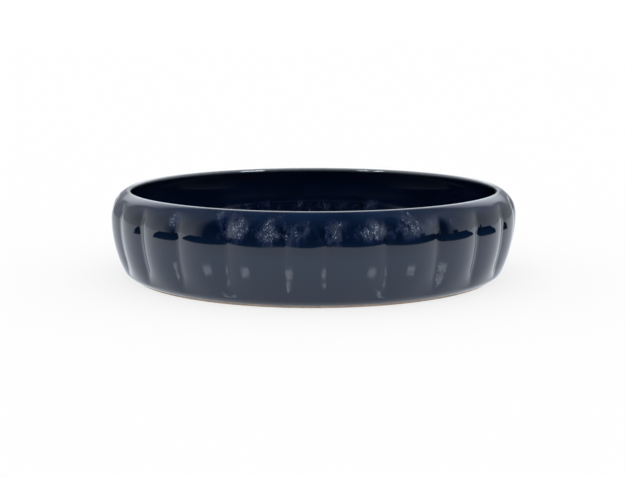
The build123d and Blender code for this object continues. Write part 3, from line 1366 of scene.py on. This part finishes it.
@dataclass(frozen=True)
class Studio:
    """The pale floor, the soft light, the dark surround that the glaze reflects, and the camera."""

    floor_reach: float = 30.0
    floor_colour: Colour = (0.95, 0.95, 0.95, 1)
    floor_gloss: float = 0.11
    floor_ior: float = 1.45
    floor_glow_share: float = 0.76
    white_glow: Colour = (1.0, 1.0, 1.0, 1)
    cool_glow: Colour = (0.96, 1.01, 1.1, 1)
    side_light: float = 0.5
    white: float = 1.0
    sky: float = 1.03
    dark: float = 0.01
    wall: float = 1.0
    dome_radius: float = 3.0
    dome_rows: int = 46
    dome_columns: int = 144
    dark_half_width: float = math.radians(50)
    dark_edge: float = math.radians(24)
    dark_above: float = math.radians(75)
    dim_from: float = math.radians(110)
    dim_until: float = math.radians(145)
    dim_behind: float = 0.45
    table_radius: float = 0.33
    block_reach: float = 2.7
    block_lift: float = 0.8 * MM
    block_steps: int = 48
    blocks: tuple[DarkBlock, ...] = (
        DarkBlock("dark_front", -80, 62, 0),
        DarkBlock("dark_right", 62, 74, 9),
        DarkBlock("dark_far_right", 74, 98, 2),
    )
    card_steps: int = 16
    cards: tuple[Card, ...] = (
        Card("left_glare", -51, 30.5, 0.52, 0.24, 110.0, ShownIn.FLOOR),
        Card("right_glare", 51, 30.5, 0.52, 0.24, 110.0, ShownIn.FLOOR),
        Card("rim_strip_right", 45, 23, 0.6, 0.44, 48.0, ShownIn.RIM),
        Card("rim_strip_left", -36.5, 23, 0.26, 0.44, 48.0, ShownIn.RIM),
        Card("rim_strip_far_left", -48, 23, 0.2, 0.44, 48.0, ShownIn.RIM),
        Card("rim_line", 180, 32, 3.6, 1.6, 2.2, ShownIn.OUTSIDE, soft=True),
    )
    camera_distance: float = 0.966
    camera_height: float = 0.1776
    camera_pitch: float = math.radians(8.985)
    camera_shift: float = -0.0016
    lens: float = 75.1

    def build(self) -> None:
        """Sets up the whole stage round the finished basin."""
        bpy.context.scene.view_settings.view_transform = "Standard"
        self._floor()
        self._world()
        shade = self._glow("dark_room", self.dark)
        for block in self.blocks:
            self._dark_block(block, shade)
        self._dome()
        for card in self.cards:
            self._card(card)
        self._camera()

    def _floor(self) -> None:
        """The pale floor; it has a soft gloss in reflections, as a lacquered table has."""
        material = bpy.data.materials.new("pale_floor")
        sketch = sketch_on(material)
        path = sketch.node("ShaderNodeLightPath").outputs
        in_gloss = path["Is Glossy Ray"]
        matt = sketch.node("ShaderNodeBsdfDiffuse", {"Color": self.floor_colour})
        gloss = sketch.node("ShaderNodeBsdfGlossy", {"Roughness": self.floor_gloss})
        mirrored = sketch.times(sketch.node("ShaderNodeFresnel", {"IOR": self.floor_ior}), in_gloss)
        surface = sketch.node("ShaderNodeMixShader", {0: mirrored, 1: matt, 2: gloss})
        spot = sketch.node("ShaderNodeSeparateXYZ", {0: sketch.place()}).outputs
        across, away = sketch.times(spot["X"], spot["X"]), sketch.times(spot["Y"], spot["Y"])
        aside = sketch.math("DIVIDE", across, sketch.plus(across, away))
        aside = sketch.times(sketch.times(aside, self.side_light), in_gloss)
        colour = sketch.blend(in_gloss, self.white_glow, self.cool_glow)
        glow = sketch.node("ShaderNodeEmission", {"Color": colour, "Strength": sketch.plus(aside, 1.0)})
        seen = sketch.plus(path["Is Camera Ray"], in_gloss, clamp=True)
        share = sketch.times(seen, self.floor_glow_share)
        sketch.finish(sketch.node("ShaderNodeMixShader", {0: share, 1: surface, 2: glow}))
        corners = self.floor_reach * np.array(((-1, -1, 0), (1, -1, 0), (1, 1, 0), (-1, 1, 0)))
        add_object("floor", corners, [[0, 1, 2, 3]], material)

    def _world(self) -> None:
        """White all round for the camera and in reflections, and soft even light for the surfaces."""
        world = bpy.data.worlds.new("studio")
        bpy.context.scene.world = world
        sketch = sketch_on(world)
        path = sketch.node("ShaderNodeLightPath").outputs
        seen = sketch.plus(path["Is Camera Ray"], path["Is Glossy Ray"])
        seen = sketch.plus(seen, path["Is Transmission Ray"], clamp=True)
        light = sketch.ramp(seen, Levels(0, 1, self.sky, self.white))
        sky = sketch.node("ShaderNodeBackground", {"Color": self.white_glow, "Strength": light})
        sketch.node("ShaderNodeOutputWorld", {"Surface": sky})

    def _glow(self, name: str, strength: float | None = None, clear: bool = False) -> Material:
        """A light-giving material.

        Args:
            name: Its name.
            strength: How bright it is; without one, the mesh's glow layer gives it.
            clear: Whether the room shows through it.

        Returns:
            The material.
        """
        material = bpy.data.materials.new(name)
        sketch = sketch_on(material)
        strength = sketch.layer("glow") if strength is None else strength
        surface = sketch.node("ShaderNodeEmission", {"Color": self.cool_glow, "Strength": strength})
        if clear:
            through = sketch.node("ShaderNodeBsdfTransparent")
            surface = sketch.node("ShaderNodeAddShader", {0: surface, 1: through})
        sketch.finish(surface)
        return material

    def _sheet(self, name: str, rows: list[np.ndarray], material: Material, closed: bool = False) -> Object:
        """Makes a sheet of the stage, which shows in reflections alone.

        Args:
            name: Its name.
            rows: Its rows of points.
            material: Its material.
            closed: Whether its rows run all round.

        Returns:
            The object.
        """
        count = len(rows[0])
        faces = [band(row, row + 1, count, closed) for row in range(len(rows) - 1)]
        made = add_object(name, np.concatenate(rows), np.concatenate(faces).tolist(), material)
        for kind in ("camera", "diffuse", "transmission", "volume_scatter", "shadow"):
            setattr(made, f"visible_{kind}", False)
        return made

    def _dark_block(self, block: DarkBlock, material: Material) -> None:
        """Dark floor from the edge of the white table outwards, with a low dark screen at its far end.

        Args:
            block: Where it stands.
            material: Its material.
        """
        turns = np.radians(np.linspace(block.start, block.end, self.block_steps + 1))
        near, far = self.table_radius, self.block_reach
        top = far * math.tan(math.radians(block.top))
        section = ((near, self.block_lift), (far, self.block_lift), (far, top))
        self._sheet(block.name, [around(radius, height, turns) for radius, height in section], material)

    def room_light(self, aside: float, rise: float) -> float:
        """How bright the room is in a direction.

        Args:
            aside: Its angle from the front, to either side.
            rise: Its angle above the table.

        Returns:
            The strength that the glaze reflects.
        """
        beside = clamped((aside - self.dark_half_width) / self.dark_edge)
        below = clamped((self.dark_above - rise) / self.dark_above)
        behind = clamped((aside - self.dim_from) / (self.dim_until - self.dim_from))
        return self.dark + (self.wall - self.dark) * beside * below * (1 - (1 - self.dim_behind) * behind)

    def _dome(self) -> None:
        """The room round and over the table: dark in front and above, white at the sides and behind."""
        overhead = Arc(0.0, 0.0, self.dome_radius, 0.0, QUARTER_TURN)
        rows = turned_rings(spread_points(overhead, self.dome_rows), self.dome_columns)
        room = self._sheet("room", rows, self._glow("room"), closed=True)
        turns = [FULL_TURN * n / self.dome_columns for n in range(self.dome_columns)]
        rises = [QUARTER_TURN * n / self.dome_rows for n in range(self.dome_rows + 1)]
        glows = [self.room_light(min(turn, FULL_TURN - turn), rise) for rise in rises for turn in turns]
        add_layer(room.data, "glow", np.array(glows))

    def _card(self, card: Card) -> None:
        """Hangs one card.

        Args:
            card: Its place, size and strength, and the objects in which it shows.
        """
        azimuth, elevation = math.radians(card.azimuth), math.radians(card.elevation)
        level, height = card.distance * heading(elevation)
        middle = around(level, height, np.array([azimuth]))[0]
        aside = np.append(heading(azimuth), 0.0)
        upward = np.cross(middle / card.distance, aside)
        steps = np.linspace(-1, 1, self.card_steps + 1)
        across = middle + np.outer(steps, aside * card.width / 2)
        rows = [across + upward * card.height / 2 * step for step in steps]
        fades = np.outer(1 - steps**2, 1 - steps**2) if card.soft else np.ones((len(steps), len(steps)))
        made = self._sheet(card.name, rows, self._glow(card.name, clear=True))
        add_layer(made.data, "glow", card.strength * fades)
        made.light_linking.receiver_collection = bpy.data.collections.new(card.name)
        for name in card.shown_in.value:
            made.light_linking.receiver_collection.objects.link(bpy.data.objects[name])

    def _camera(self) -> None:
        """The camera at the photograph's place."""
        data = bpy.data.cameras.new("camera")
        data.lens = self.lens
        data.shift_x = self.camera_shift
        camera = bpy.data.objects.new("camera", data)
        camera.location = (0.0, -self.camera_distance, self.camera_height)
        camera.rotation_euler = (QUARTER_TURN - self.camera_pitch, 0.0, 0.0)
        bpy.context.collection.objects.link(camera)
        bpy.context.scene.camera = camera


def main() -> None:
    """Builds the basin's pieces in order, dresses the kept ones and sets the stage."""
    logging.basicConfig(level=logging.INFO, format="%(name)s: %(message)s")
    sizes = BasinSizes()
    skin = FlutedSkin(sizes)
    glaze = GlazeFinish().make(GlazeDepth().make(), CrystalVeil().make())
    grain = ClayGrain().make()
    foot_clay = ClayFinish("bare_foot_clay", (0.68, 0.57, 0.48, 1), (0.56, 0.45, 0.37, 1)).make(grain)
    body_clay = ClayFinish("body_clay", (0.4, 0.33, 0.27, 1), (0.35, 0.28, 0.23, 1), specks=0.3).make(grain)
    GlazeCoats(skin).build(glaze)
    foot = BareFoot(sizes, skin.outline)
    foot.build(foot_clay)
    UndersideCoat(sizes, foot).build(glaze)
    for node in ("fluted_wall", "floor_slab"):
        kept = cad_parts[node]
        for place in kept.material_slots:
            place.material = body_clay
        log.info("%s: kept, dressed as clay", node)
    Studio().build()


if __name__ == "__main__":
    main()
